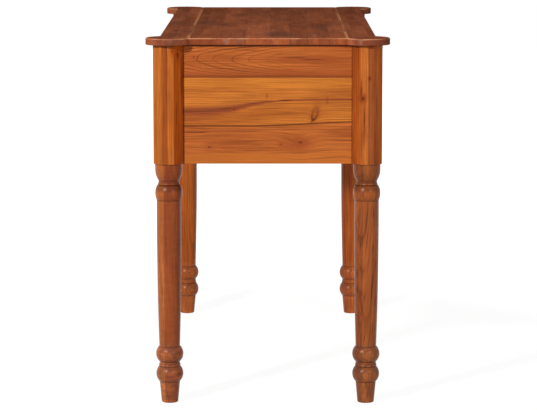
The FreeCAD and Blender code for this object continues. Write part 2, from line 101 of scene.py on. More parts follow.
class Recipe:
    """The nodes of one material or of the world."""

    def __init__(self, owner):
        owner.use_nodes = True
        self.owner = owner
        self.tree = owner.node_tree
        self.tree.nodes.clear()

    def node(self, kind, settings, sockets, output=0):
        """Add a node: its settings first, then the values or links of its sockets."""
        item = self.tree.nodes.new(kind)
        for name, setting in settings.items():
            setattr(item, name, setting)
        for name, content in sockets.items():
            if isinstance(content, Value):
                self.tree.links.new(content.socket, item.inputs[name])
            else:
                item.inputs[name].default_value = content
        return Value(self, item.outputs[output]) if item.outputs else None

    def math(self, operation, *values):
        return self.node("ShaderNodeMath", {"operation": operation}, dict(enumerate(values)))

    def noise(self, where, seed, detail=2.0):
        """Noise about zero, over coordinates counted in grains of the noise."""
        vector = self.node("ShaderNodeCombineXYZ", {}, dict(enumerate(where)))
        return self.node("ShaderNodeTexNoise", {"noise_dimensions": "4D"},
                         {"Vector": vector, "W": seed, "Scale": 1.0, "Detail": detail}) - 0.5

    def flecks(self, spot, size, seed, detail=2.0):
        """Noise about zero whose grains have a length along a board and a width across it."""
        along, across, depth = spot
        length, width = size
        return self.noise((along / length, across / width, depth / width), seed, detail)

    def chance(self, number):
        """A steady random share for each whole number."""
        return self.node("ShaderNodeTexWhiteNoise", {"noise_dimensions": "1D"}, {"W": number})

    def mix(self, share, first, second):
        """From one colour to another."""
        return self.node("ShaderNodeMix", {"data_type": "RGBA"}, {0: share, 6: first, 7: second}, 2)

    def shade(self, colour, level):
        return self.node("ShaderNodeVectorMath", {"operation": "SCALE"}, {0: colour, "Scale": level})

    def parts(self, vector):
        x = self.node("ShaderNodeSeparateXYZ", {}, {0: vector})
        return SimpleNamespace(x=x, y=x.other("Y"), z=x.other("Z"))

    def point(self):
        """Where a point of the resting desk lies, in metres."""
        return self.parts(self.node("ShaderNodeTexCoord", {}, {}, "Object"))

    def normal(self):
        return self.node("ShaderNodeNewGeometry", {}, {}, "Normal")

    def eased(self, radius):
        """The surface's direction with its arrises eased, and how far that turns it: 0 on a flat."""
        soft = self.node("ShaderNodeBevel", {"samples": 4}, {"Radius": radius})
        both = {0: soft, 1: self.normal()}
        dot = self.node("ShaderNodeVectorMath", {"operation": "DOT_PRODUCT"}, both, "Value")
        return soft, 1 - dot


def new_finish(name):
    return Recipe(bpy.data.materials.new(name))


class Stain:
    """The colour of a piece, built up in layers over its grain."""

    def __init__(self, recipe, figure, colour):
        self.recipe = recipe
        self.figure = figure
        self.colour = colour

    def add(self, colour, where, strength=1.0, threads=0.0):
        """Mix in a colour where a mask says. The grain's threads can make it stronger and weaker."""
        if threads:
            strength = strength + self.figure.thread * threads
        self.colour = self.recipe.mix(where * strength, self.colour, colour)

    def shade(self, level):
        self.colour = self.recipe.shade(self.colour, level)


# Timber: two base colours, a red for streaks and a dark for growth lines, and how strong each shows
Palette = namedtuple("Palette", "light deep red line streaks lines threads dashes",
                     defaults=(0.5, 0.5, 1.3, 0.45))
# How a board was cut: ring width, rise of the rings along the board, and how far they wander
Cut = namedtuple("Cut", "ring taper wander", defaults=(0.004, 0.01, 0.01))


def wood(red, green, blue, **strengths):
    """A stained wood from its usual colour."""
    def near(red_share, green_share, blue_share):
        return tint(red * red_share, green * green_share, blue * blue_share)
    return Palette(light=near(1.08, 1.12, 1.12), deep=near(0.92, 0.89, 0.88), red=near(0.84, 0.72, 0.78),
                   line=near(0.52, 0.46, 0.55), **strengths)


AMBER = wood(185, 104, 42)
ORANGE = wood(177, 94, 43)
MAHOGANY = wood(164, 90, 60, lines=0.3, threads=0.5, dashes=0.2)
PALE = wood(212, 172, 120, streaks=0.3, lines=0.3, threads=0.35)

# Marks of the grain: how long each kind is along the board, and how wide across it
SLOW_WANDER = (0.16, 0.045)
QUICK_WANDER = (0.05, 0.014)
STREAK = (0.30, 0.009)
CLOUD = (0.22, 0.04)
THREAD = (0.11, 0.0025)
DASH = (0.13, 0.0026)
FIBRE = (0.04, 0.0009)
PORE = (0.012, 0.0008)


def grain(recipe, spot, seed, cut):
    """What shows on a board at a spot along it, across it and deep in it.

    The heart of the log runs along the line where across and depth are zero.
    """
    along, across, depth = spot
    slow = recipe.flecks(spot, SLOW_WANDER, seed)
    quick = recipe.flecks(spot, QUICK_WANDER, seed + 1)
    reach = (across * across + depth * depth).math("SQRT") + along * cut.taper
    age = (reach + slow * cut.wander + quick * (cut.wander * 0.25)) / cut.ring
    part = age.math("FRACT")
    vigour = recipe.chance(age.math("FLOOR") + seed)
    return SimpleNamespace(
        line=part.rise(0.5, 0.92) * part.fall(0.93, 1.0) * (0.15 + 0.85 * vigour),
        streak=recipe.flecks(spot, STREAK, seed + 2, 3.0),
        cloud=recipe.flecks(spot, CLOUD, seed + 3),
        thread=recipe.flecks(spot, THREAD, seed + 4, 4.0),
        dash=recipe.flecks(spot, DASH, seed + 7).rise(0.08, 0.17),
        fibre=recipe.flecks(spot, FIBRE, seed + 5),
        pore=recipe.flecks(spot, PORE, seed + 6).rise(0.13, 0.24),
    )


def timber(recipe, figure, palette):
    """The colour of a board from its grain."""
    tone = recipe.mix(figure.cloud.rise(-0.2, 0.2), palette.deep, palette.light)
    tone = recipe.mix(figure.streak.rise(0.0, 0.28) * palette.streaks, tone, palette.red)
    tone = recipe.mix(figure.line * palette.lines, tone, palette.line)
    tone = recipe.mix(figure.dash * palette.dashes, tone, palette.line)
    tone = recipe.shade(tone, 1 + figure.thread * palette.threads + figure.fibre * 0.35)
    return recipe.mix(figure.pore * 0.4, tone, palette.line)


# Lacquer: how far the wear and painted highlight of an arris reach, how deep the pores are, and the other
# finishes
ARRIS_REACH = 0.0012
PORE_DEPTH = 0.0004
DULL = {"specular": 0.0, "coat": 0.0}
PLANED = {"roughness": 0.55, "specular": 0.25, "coat": 0.0}
TURNED_GLOSS = {"roughness": 0.36, "specular": 0.0, "arris_wear_and_highlight": 1.6, "gloss": (0.3, 1.22), "sheen": 0.06}


def lacquered(stain, roughness=0.4, specular=0.06, coat=0.12, arris_wear_and_highlight=1.25, gloss=(0.22, 1.13), sheen=0.0):
    """Satin lacquer over stained wood: pores and growth lines sink in a little, arrises are paler as rubbed
    wear and as a painted highlight.

    The gloss is the roughness and the refractive index of the outer coat. The sheen is the share of light
    that figured wood throws back in its own colour.
    """
    recipe = stain.recipe
    figure = stain.figure
    coat_roughness, coat_index = gloss
    soft, turn = recipe.eased(ARRIS_REACH)
    # Arrises paler: rubbed wear, and a painted highlight along them.
    wear_and_highlight = turn.rise(0.02, 0.2)
    stain.add(recipe.shade(stain.colour, arris_wear_and_highlight), wear_and_highlight, 0.6)
    bump = recipe.node("ShaderNodeBump", {}, {
        "Strength": 0.2,
        "Distance": PORE_DEPTH,
        "Height": 1 - figure.pore * 0.8 - figure.line * 0.25 + figure.fibre * 0.5,
        "Normal": soft,
    })
    shader = recipe.node("ShaderNodeBsdfPrincipled", {}, {
        "Base Color": stain.colour,
        "Roughness": roughness + figure.fibre * 0.18 + figure.pore * 0.12 - wear_and_highlight * 0.06,
        "Metallic": sheen,
        "Specular IOR Level": specular,
        "Coat Weight": coat,
        "Coat Roughness": coat_roughness,
        "Coat IOR": coat_index,
        "Normal": bump,
    })
    recipe.node("ShaderNodeOutputMaterial", {}, {"Surface": shader})
    return recipe.owner


# Glued boards: how far apart their places lie along and deep in the log, and how wide the soft glue line is
LOG_LENGTH = 3.1
LOG_SPREAD = 0.05
GLUE_LINE = (-0.0009, -0.0002)


def glued_boards(recipe, across, width, seed):
    """Board number, place across that board from its middle, and a random share for each board."""
    shift = seed * 0.37
    number = (across / width + shift).math("FLOOR")
    local = across - (number - shift + 0.5) * width
    return number, local, recipe.chance(number + seed)


def board_finish(name, axes, seed, palette, cut=Cut(), width=0.09, heart=0.03, **finish):
    """Boards glued edge to edge, each from its own part of the log. Axes: along, across and through."""
    recipe = new_finish(name)
    point = recipe.point()
    along, across, depth = (getattr(point, axis) for axis in axes)
    number, local, luck = glued_boards(recipe, across, width, seed)
    spot = (along + luck * LOG_LENGTH, local + (luck - 0.5) * width, depth + heart + luck * LOG_SPREAD)
    figure = grain(recipe, spot, number * 7.3 + seed, cut)
    stain = Stain(recipe, figure, timber(recipe, figure, palette))
    stain.shade(0.86 + luck * 0.28)
    stain.add(palette.line, (abs(local) - width / 2).rise(*GLUE_LINE), 0.5)
    return lacquered(stain, **finish)


# Spots and lines that are drawn over the grain. A line lies at a level and runs between two places.
Mark = namedtuple("Mark", "across up half_width half_height lean", defaults=(0.0,))
Line = namedtuple("Line", "level half_width start end fade")
Arch = namedtuple("Arch", "tip spacing ring heart half_width boldest")
ARCH_SLOW_WANDER = (0.07, 0.02)
ARCH_QUICK_WANDER = (0.02, 0.006)


def away_from(mark, across, up):
    """Distance from a mark's middle, 1 at its rim."""
    side = across - mark.across
    rise = up - mark.up
    wide = (side * math.cos(mark.lean) + rise * math.sin(mark.lean)) / mark.half_width
    high = (rise * math.cos(mark.lean) - side * math.sin(mark.lean)) / mark.half_height
    return (wide * wide + high * high).math("SQRT")


def stroke(offset, half_width):
    """1 in the middle of a drawn line, soft at its sides."""
    return (abs(offset) / half_width).fall(0.2, 1.0)


def drawn(line, along, height):
    return stroke(height - line.level, line.half_width) * along.band(line.start, line.end, line.fade)


def arched_lines(recipe, along, across, arch, seed):
    """Thin growth lines of a flat-sawn board that close in arches, with an even width of line."""
    slow = recipe.flecks((along, across, 0.0), ARCH_SLOW_WANDER, seed)
    quick = recipe.flecks((along, across, 0.0), ARCH_QUICK_WANDER, seed + 1)
    depth = arch.heart - (along - arch.tip) * (arch.ring / arch.spacing)
    reach = (across * across + depth * depth).math("SQRT")
    age = reach / arch.ring + slow * 0.7 + quick * 0.2
    part = age.math("FRACT")
    vigour = recipe.chance((age + 0.5).math("FLOOR") + seed)
    slope = depth * (arch.ring / arch.spacing)
    steep = (across * across + slope * slope).math("SQRT") / (reach * arch.ring)
    off = 0.5 - abs(part - 0.5)
    width = steep * (arch.half_width * (1.0 + quick * 1.2))
    bold = abs(age - arch.boldest).fall(0.25, 0.5)
    return (off / width).fall(0.25, 1.0) * (0.4 + 0.45 * vigour + bold * 0.6)


# End panels: three boards, one above another. Heights are over the floor, and places across from the middle.
UPPER_JOINT = 0.6785
LOWER_JOINT = 0.579
LOWER_JOINT_CLIMB = 0.009
TOP_BOARD_HEART = 0.7162
MIDDLE_BOARD_HEART = 0.50
BOTTOM_BOARD_HEART = 0.515
PANEL_HEART_X = 0.44
PANEL_CUT = Cut(0.0036, 0.006, 0.008)
PANEL_RIPPLE = (0.09, 0.03)
PANEL_RIPPLE_HEIGHT = 0.006
PANEL_TOP_PAINTED_SHADE = (0.7405, 0.7445)
PANEL_SIDE_PAINTED_SHADE = (0.1705, 0.1735)
PANEL_AMBER = AMBER._replace(lines=0.4, threads=1.6)
PANEL_ORANGE = ORANGE._replace(lines=0.3, threads=1.6)
SEAM_BROWN = tint(80, 36, 16)
# Dark brown for a dash in the streak, and for the painted shade under the top and beside the posts
STREAK_AND_SHADE_BROWN = tint(66, 26, 12)

# Top board: arches, a red core with dark lines in it, a red-brown band, and a dark line along the joint
PANEL_ARCH = Arch(-0.1455, 0.036, 0.0031, 0.0403, 0.0013, 13)
RED_CORE = Line(0.7155, 0.012, 0.0, 0.16, 0.05)
CORE_LINES = (Line(0.7195, 0.0024, 0.035, 0.075, 0.015), Line(0.7155, 0.0024, 0.07, 0.112, 0.015))
RED_BAND = (0.683, 0.702)
EDGE_LINE = UPPER_JOINT + 0.0028
EDGE_HALF_WIDTH = 0.003

# Middle board: gold above, and a red streak that climbs to the right and thins out, with lines beside it
GOLD_FOOT = 0.657
GOLD = tint(204, 124, 46)
STREAK_RED = tint(135, 62, 38)
STREAK_LEVEL = 0.6205
STREAK_CLIMB = 0.0125
STREAK_TURN = -0.045
STREAK_RUN = 0.06
STREAK_HALF_WIDTH = 0.0125
STREAK_THINNING = 0.0106
STREAK_CORE = 0.001
STREAK_DASH = Line(0.0008, 0.0018, 0.024, 0.048, 0.008)
LOW_SMEAR = -0.0165
LOW_SMEAR_HALF_WIDTH = 0.006
THIN_LINE = -0.0065
THIN_LINE_HALF_WIDTH = 0.0016
PANEL_SMUDGES = (Mark(-0.0017, 0.641, 0.0018, 0.005), Mark(0.1218, 0.6314, 0.002, 0.006))

# Knots
PANEL_KNOT = Mark(0.0968, 0.6045, 0.0062, 0.0145, -0.30)
KNOT_TAIL = Mark(0.0915, 0.5905, 0.0012, 0.005, -0.7)
KNOT_HEART = tint(186, 100, 44)
KNOT_RIM = tint(88, 36, 16)
KNOT_FOOT_GAIN = -22
PANEL_SMEAR = Mark(0.062, 0.545, 0.055, 0.028)
PANEL_PINS = (
    Mark(-0.120, 0.535, 0.004, 0.0025),
    Mark(0.067, 0.545, 0.005, 0.003),
    Mark(-0.151, 0.720, 0.0025, 0.0018),
    Mark(-0.069, 0.613, 0.003, 0.002),
    Mark(0.0265, 0.541, 0.0022, 0.0018),
)

# Bottom board: a pale wavy band, two wavy lines and a short straight one
PALE_BAND = tint(196, 110, 42)
PALE_BAND_EDGE = (0.517, 0.528)
WAVE_HEIGHT = 0.003
WAVE_RADIANS_PER_METRE = 30
UPPER_WAVE = 0.5265
UPPER_WAVE_HALF_WIDTH = 0.0014
LOWER_WAVE = 0.5125
LOWER_WAVE_HALF_WIDTH = 0.0012
SHORT_LINE = Line(0.566, 0.0018, -0.175, -0.125, 0.012)


def panel_surface(recipe, facing, seed):
    """Places on an end panel, the board that is there, and what its grain shows."""
    point = recipe.point()
    y = point.y * facing
    z = point.z
    ripple = recipe.flecks((y, z, 0.0), PANEL_RIPPLE, seed + 20) * PANEL_RIPPLE_HEIGHT
    lower_joint = LOWER_JOINT + y.rise(-0.04, 0.20) * LOWER_JOINT_CLIMB
    top_board = z > UPPER_JOINT
    bottom_board = z < lower_joint
    middle_board = 1 - top_board - bottom_board
    knot = away_from(PANEL_KNOT, y, z)
    smear = away_from(PANEL_SMEAR, y, z).fall(0.0, 1.0) * bottom_board
    bend = knot.fall(0.4, 3.2) * 0.004 + smear * 0.012
    upper_hearts = TOP_BOARD_HEART * top_board + MIDDLE_BOARD_HEART * middle_board
    heart = upper_hearts + BOTTOM_BOARD_HEART * bottom_board
    spot = (y, z - heart + bend + ripple, point.x * facing - PANEL_HEART_X)
    figure = grain(recipe, spot, seed + top_board * 3 + bottom_board * 9, PANEL_CUT)
    figure.line = figure.line * (1 - top_board)
    return SimpleNamespace(y=y, z=z, ripple=ripple, lower_joint=lower_joint, top_board=top_board,
                           middle_board=middle_board, knot=knot, smear=smear, figure=figure)


def stain_top_board(stain, panel, seed):
    y = panel.y
    z = panel.z
    arches = arched_lines(stain.recipe, y, z - TOP_BOARD_HEART, PANEL_ARCH, seed + 40) * panel.top_board
    stain.add(ORANGE.line, arches * y.fall(-0.02, 0.10), 0.75)
    stain.add(ORANGE.red, drawn(RED_CORE, y, z + panel.ripple), 0.6, threads=1.8)
    for line in CORE_LINES:
        stain.add(ORANGE.line, drawn(line, y, z + panel.ripple * 0.4), 0.65, threads=1.5)
    red_band = (z + panel.ripple).fall(*RED_BAND) * panel.top_board
    stain.add(ORANGE.red, red_band, 0.6, threads=1.8)
    edge = stroke(z + panel.ripple * 0.3 - EDGE_LINE, EDGE_HALF_WIDTH) * panel.top_board
    stain.add(ORANGE.line, edge, 0.5)


def stain_middle_board(stain, panel):
    y = panel.y
    z = panel.z
    inside = panel.middle_board
    stain.add(GOLD, z.band(GOLD_FOOT, UPPER_JOINT, 0.005) * inside, 0.4, threads=1.0)
    climb = STREAK_LEVEL + ((y - STREAK_TURN) / STREAK_RUN).math("TANH") * STREAK_CLIMB
    half_width = STREAK_HALF_WIDTH - y.rise(-0.13, 0.03) * STREAK_THINNING
    off = z + panel.ripple * 0.5 - climb
    stain.add(STREAK_RED, (abs(off) / half_width).fall(0.3, 1.2) * inside, 0.8, threads=2.4)
    stain.add(AMBER.line, stroke(off - STREAK_CORE, half_width * 0.35) * inside, 0.5, threads=2.6)
    stain.add(STREAK_AND_SHADE_BROWN, drawn(STREAK_DASH, y, off), 0.9)
    low_smear = stroke(off - LOW_SMEAR, LOW_SMEAR_HALF_WIDTH) * y.fall(-0.15, -0.11) * inside
    stain.add(STREAK_RED, low_smear, 0.5, threads=2.0)
    for smudge in PANEL_SMUDGES:
        stain.add(STREAK_RED, away_from(smudge, y, z).fall(0.4, 2.0), 0.5)
    thin_line = stroke(off - THIN_LINE, THIN_LINE_HALF_WIDTH) * y.rise(-0.02, 0.05) * inside
    stain.add(AMBER.line, thin_line, 0.35, threads=2.0)


def stain_knots(stain, panel):
    """The knot: dark rim with a heavy foot, paler middle. Then the red smear and the pin knots."""
    y = panel.y
    z = panel.z
    knot = panel.knot
    stain.add(AMBER.red, knot.fall(1.0, 2.4), 0.4)
    stain.add(KNOT_HEART, knot.fall(0.6, 0.9), 0.4)
    stain.add(KNOT_RIM, stroke(knot - 0.4, 0.25), 0.4)
    stain.add(KNOT_RIM, away_from(KNOT_TAIL, y, z).fall(0.4, 1.6), 0.7)
    rim = knot.rise(0.5, 0.8) * knot.fall(0.95, 1.3)
    foot = (z - PANEL_KNOT.up) * KNOT_FOOT_GAIN
    stain.add(KNOT_RIM, rim, 0.55 + foot, threads=1.0)
    stain.add(ORANGE.red, panel.smear, 0.7, threads=2.4)
    for pin in PANEL_PINS:
        away = away_from(pin, y, z)
        stain.add(ORANGE.red, away.fall(1.0, 5.0), 0.3)
        stain.add(ORANGE.line, away.fall(0.3, 1.2), 0.75)


def stain_bottom_board(stain, panel):
    y = panel.y
    z = panel.z
    wave = z + panel.ripple * 1.4 + (y * WAVE_RADIANS_PER_METRE).math("SINE") * WAVE_HEIGHT
    stain.add(PALE_BAND, wave.fall(*PALE_BAND_EDGE), 0.5)
    upper = stroke(wave - UPPER_WAVE, UPPER_WAVE_HALF_WIDTH) * y.rise(-0.01, 0.06)
    lower = stroke(wave - LOWER_WAVE, LOWER_WAVE_HALF_WIDTH) * y.rise(0.0, 0.1)
    stain.add(ORANGE.line, upper + lower, 0.5)
    stain.add(ORANGE.line, drawn(SHORT_LINE, y, z + panel.ripple * 0.3), 0.8)


def panel_joints_and_painted_shade(stain, panel):
    """The two joints, and painted shade under the top and beside the posts."""
    lower = stroke(panel.z - panel.lower_joint, 0.0024) * (0.8 + stain.figure.thread)
    upper = stroke(panel.z - UPPER_JOINT, 0.0012) * 0.4
    stain.add(SEAM_BROWN, lower + upper)
    # Painted shade under the top's overhang and beside the posts.
    stain.add(STREAK_AND_SHADE_BROWN, panel.z.rise(*PANEL_TOP_PAINTED_SHADE) + abs(panel.y).rise(*PANEL_SIDE_PAINTED_SHADE), 0.7)


def end_panel_finish(name, facing, seed):
    """Arched board on top, golden board with a red streak and a knot in the middle, wavy board below."""
    recipe = new_finish(name)
    panel = panel_surface(recipe, facing, seed)
    stain = Stain(recipe, panel.figure, timber(recipe, panel.figure, PANEL_AMBER))
    stain.add(timber(recipe, panel.figure, PANEL_ORANGE), 1 - panel.middle_board)
    stain_top_board(stain, panel, seed)
    stain_middle_board(stain, panel)
    stain_knots(stain, panel)
    stain_bottom_board(stain, panel)
    panel_joints_and_painted_shade(stain, panel)
    return lacquered(stain)


# Posts: strips glued face to face, from the inside strip to the outside one. Each strip after the first
# starts this far out from the post's middle, towards the outside of the desk. The first can blend into the
# second.
Post = namedtuple("Post", "strips marks starts blend", defaults=((), (-0.0126, 0.0015, 0.0126), None))
POSTS = {
    "front_right": Post(
        strips=(wood(173, 78, 18), wood(177, 95, 37), wood(160, 80, 30), wood(188, 106, 40)),
        marks=(Mark(-0.1835, 0.7256, 0.0022, 0.007), Mark(-0.1945, 0.735, 0.0015, 0.006),
               # The last mark here is a painted shade line down the inner edge, beside the panel.
               Mark(-0.1755, 0.675, 0.0014, 0.05)),
    ),
    "back_right": Post(
        strips=(wood(153, 69, 20), wood(183, 98, 41), wood(149, 77, 39), wood(175, 86, 32)),
        marks=(Mark(0.1940, 0.6375, 0.0042, 0.0055), Mark(0.2075, 0.6785, 0.0020, 0.0035),
               Mark(0.1905, 0.652, 0.0012, 0.012), Mark(0.1975, 0.595, 0.0010, 0.022)),
        starts=(-0.0170, 0.0015, 0.0135),
        blend=(-0.027, -0.004),
    ),
    "front_left": Post(
        strips=(wood(170, 84, 30), wood(162, 80, 32), wood(182, 98, 36), wood(160, 78, 30)),
        marks=(Mark(-0.1985, 0.585, 0.003, 0.005),),
    ),
    "back_left": Post(
        strips=(wood(178, 94, 34), wood(158, 76, 28), wood(172, 88, 32), wood(184, 102, 38)),
    ),
}
POST_CALM = {"lines": 0.3, "threads": 1.2, "dashes": 0.4}
POST_CUT = Cut(0.0042, 0.012, 0.01)
POST_BLOTCH = (0.045, 0.016)
POST_SEAM_HALF_WIDTH = 0.0008
# How far the heart of the log lies from the post's middle, and how far it moves for each next strip
POST_HEART = Vector((0.05, 0.03))
POST_HEART_STEP = Vector((0.017, 0.021))


def post_finish(corner, post, seed):
    """Upright strips of several woods, blotched, with small knots and one painted shade line on the face at
    the desk's end.
    """
    recipe = new_finish(f"post_{corner}_wood")
    point = recipe.point()
    at = middle(f"post_{corner}")
    outward = (point.y - at.y) * math.copysign(1.0, at.y)
    steps = [outward > start for start in post.starts]
    number = sum(steps[1:], steps[0])
    if post.blend:
        steps[0] = outward.rise(*post.blend)
    across = point.y - at.y + POST_HEART.y - number * POST_HEART_STEP.y
    depth = point.x - at.x + POST_HEART.x - number * POST_HEART_STEP.x
    spot = (point.z, across, depth)
    figure = grain(recipe, spot, seed + number * 11, POST_CUT)
    first, *others = (palette._replace(**POST_CALM) for palette in post.strips)
    stain = Stain(recipe, figure, timber(recipe, figure, first))
    for step, palette in zip(steps, others):
        stain.add(timber(recipe, figure, palette), step)
    stain.add(first.line, stroke(outward - post.starts[1], POST_SEAM_HALF_WIDTH), 0.5)
    stain.shade(1 + recipe.flecks(spot, POST_BLOTCH, seed + 9, 3.0) * 0.5)
    end_face = (point.x - at.x) * math.copysign(1.0, at.x) > 0
    for mark in post.marks:
        away = away_from(mark, point.y, point.z)
        stain.add(first.red, away.fall(0.9, 3.0) * end_face, 0.55)
        stain.add(first.line, away.fall(0.4, 1.1) * end_face, 0.8)
    return lacquered(stain)


# Turned pieces: their wood and its cut, another wood with the place across below which it lies, how strongly
# the grain ripples, how fine it is and how it leans, how light the foot with its balls and the cup are, the
# weight of the outer coat, and the grooves and shoulders, darkened by gathered stain and painted shade
Turning = namedtuple(
    "Turning",
    "palette cut strip rippling fineness lean foot_level cup_level coat grooves shoulders",
    defaults=(None, 0.3, 1.4, (0.03, 0.03), 1.0, 0.85, 0.9, (), ()),
)
TURNED_HEART = Vector((0.035, 0.02))
TURNED_STRETCH = 0.7
TURNED_BLOTCH = (0.05, 0.016)
TURNED_SMOKE = (0.11, 0.02)
TURNED_RIPPLE = (0.009, 0.03)
# Paler over the foot and balls and over whole knobs: handling wear and a painted sheen
PALE_WEAR_AND_SHEEN = tint(214, 176, 150)
# Heights on a leg: top of the balls, foot of the bulb and foot of the cup, each with a soft edge
BALLS_TOP = (0.12, 0.135)
BULB_FOOT = (0.41, 0.435)
CUP_FOOT = (0.455, 0.465)
# Heights of the grooves, darker with gathered stain and painted shade: at the seats of the balls, rings,
# bulb and cup
LEG_GROOVES = (0.045, 0.0765, 0.082, 0.087, 0.1185, 0.4255, 0.4565, 0.462, 0.4655)
GROOVE_HALF_WIDTH = 0.0024
# Shoulders of the lower ball, the upper ball and the bulb, darker with painted shade and a little gathered
# stain:
# their heights, and how much darker they are
LEG_SHADED_SHOULDERS = ((0.071, 0.3), (0.113, 0.15), (0.4515, 0.4))
SHOULDER_HALF_WIDTH = 0.011
LEG_DARK = tint(78, 37, 19)
leg_turning = partial(Turning, grooves=LEG_GROOVES, shoulders=LEG_SHADED_SHOULDERS)
LEGS = {
    "front_right": leg_turning(
        wood(145, 70, 33, lines=0.3, threads=0.8, dashes=0.2),
        Cut(0.006, 0.02, 0.012),
        # The paler strip down the side towards the key lamp is partly this leg's own wood and partly painted
        # light.
        strip=(-0.2135, wood(174, 96, 45, lines=0.3, threads=0.8)),
        rippling=1.05,
        foot_level=1.06,
        cup_level=0.93,
    ),
    "back_right": leg_turning(
        wood(170, 91, 42, lines=0.4, dashes=1.0)._replace(line=LEG_DARK),
        Cut(0.004, 0.006, 0.006),
        strip=(0.196, wood(148, 76, 35, dashes=1.0)),
        rippling=0.2,
        fineness=0.95,
        lean=(0.0, -0.11),
        foot_level=0.82,
        cup_level=0.68,
    ),
    "front_left": leg_turning(
        wood(192, 98, 33),
        Cut(0.005, 0.02, 0.015),
        strip=(-0.199, wood(176, 87, 31)),
    ),
    "back_left": leg_turning(
        wood(203, 103, 33, lines=0.3),
        Cut(0.007, 0.02, 0.02),
        strip=(0.206, wood(181, 87, 32)),
    ),
}
KNOB = Turning(wood(162, 82, 32), Cut(0.004, 0.02, 0.008), coat=0.25)


def turned_finish(name, at, axis, seed, turning):
    """Turned wood, its growth rings standing off from the lathe's axis, and a ripple across its grain."""
    recipe = new_finish(name)
    palette = turning.palette
    point = recipe.point()
    place = {"x": point.x - at.x, "y": point.y - at.y, "z": point.z - at.z}
    along = place.pop(axis)
    across, depth = place.values()
    spot = (along, across, depth)
    leaning_across = across - along * turning.lean[0] + TURNED_HEART.x
    leaning_depth = depth + along * turning.lean[1] + TURNED_HEART.y
    figure = grain(recipe, (along * TURNED_STRETCH, leaning_across * turning.fineness,
                            leaning_depth * turning.fineness), seed, turning.cut)
    low = along.fall(*BALLS_TOP)
    figure.line = figure.line * (1 + low * turning.rippling)
    figure.dash = figure.dash * (1 - (low + along.rise(*BULB_FOOT)) * 0.6)
    stain = Stain(recipe, figure, timber(recipe, figure, palette))
    if turning.strip:
        start, other = turning.strip
        stain.add(timber(recipe, figure, other), point.y < start)
    stain.add(palette.red, recipe.flecks(spot, TURNED_BLOTCH, seed + 9, 3.0).rise(0.0, 0.25), 0.5)
    stain.add(palette.line, recipe.flecks(spot, TURNED_SMOKE, seed + 10, 3.0).rise(0.03, 0.25), 0.3)
    ripple = recipe.flecks(spot, TURNED_RIPPLE, seed + 11, 3.0) * turning.rippling
    stain.shade(1 + ripple * (0.4 + low * 1.8))
    # Grooves darker: gathered stain and painted shade.
    for groove in turning.grooves:
        stain.add(palette.line, stroke(along - groove, GROOVE_HALF_WIDTH), 0.5)
    # Shoulders darker: painted shade, with a little gathered stain.
    for shoulder, darker in turning.shoulders:
        stain.shade(1 - stroke(along - shoulder, SHOULDER_HALF_WIDTH) * darker)
    # Paler foot, balls and knobs: handling wear and a painted sheen.
    stain.add(PALE_WEAR_AND_SHEEN, low, 0.04)
    stain.shade(1 - low * (1 - turning.foot_level) - along.rise(*CUP_FOOT) * (1 - turning.cup_level))
    return lacquered(stain, coat=turning.coat, **TURNED_GLOSS)


# Top: its staves, where each starts across the desk and how light it is
MIDDLE_STAVES = ((-0.163, 0.74), (-0.137, 0.95), (-0.100, 1.08), (-0.045, 1.15), (0.004, 1.1), (0.045, 0.94),
                 (0.083, 1.04), (0.127, 1.12))
FRONT_STAVES = ((-0.25, 1.0), (-0.2235, 0.82), (-0.19, 1.04), (-0.165, 0.88))
BACK_STAVES = ((0.15, 1.02), (0.178, 0.94), (0.208, 1.06), (0.232, 0.9))
STAVE_LENGTH = 0.36
TOP_CUT = Cut(0.0038, 0.012, 0.012)
TOP_HEART_Z = 0.70
# Its stain: the sizes of the clouds along and across the desk, their colours, and two marks of its own
TOP_SMOKE_SIZE = (0.24, 0.08)
TOP_GLOW_SIZE = (0.18, 0.05)
TOP_SMOKE = tint(104, 66, 52)
TOP_GLOW = tint(186, 98, 52)
TOP_KNOT = Mark(-0.196, 0.31, 0.006, 0.024)
TOP_CLOUD = Mark(0.024, 0.42, 0.035, 0.09)
# Its sawn ends
MIDDLE_END = tint(160, 84, 46)
LOBE_END = tint(139, 86, 65)
END_GREY = tint(156, 108, 88)
END_RED = tint(134, 58, 36)
# Its arrises, paler with rubbed wear and a painted highlight, and its pale joint lines
TOP_ARRIS_WEAR_AND_HIGHLIGHT = tint(206, 146, 110)
ARRIS_BREAK_SIZE = (0.03, 0.03)
TOP_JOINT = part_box("top_back_board")[0].y
JOINT_PALE = tint(222, 152, 106)
JOINT_HALF_WIDTH = 0.0044
JOINT_BREAK_LENGTH = 0.2


def stave_at(y, staves):
    """The number of the stave at a place across the desk, and how light it is."""
    steps = [y > start for start, light in staves[1:]]
    number = sum(steps[1:], steps[0])
    level = staves[0][1]
    for step, (start, light), (before, light_before) in zip(steps, staves[1:], staves):
        level = step * (light - light_before) + level
    return number, level


def end_grain(recipe, point, figure, level, light, seed):
    """The colour of the staves' sawn ends: dark lines, clouds, and patches of grey and red."""
    stain = Stain(recipe, figure, MAHOGANY.deep)
    stain.add(light, figure.cloud.rise(-0.2, 0.2))
    stain.add(MAHOGANY.line, figure.line, 0.5)
    cloud = recipe.noise((point.y / 0.012, point.z / 0.02, 0.0), seed + 31, 3.0)
    stain.shade(level * (0.87 + cloud * 1.1))
    patch = recipe.noise((point.x / 0.03, point.y / 0.022, point.z / 0.06), seed + 34, 3.0)
    stain.add(END_GREY, patch.rise(0.0, 0.16), 0.6)
    stain.add(END_RED, patch.fall(-0.16, 0.0), 0.5)
    return stain.colour


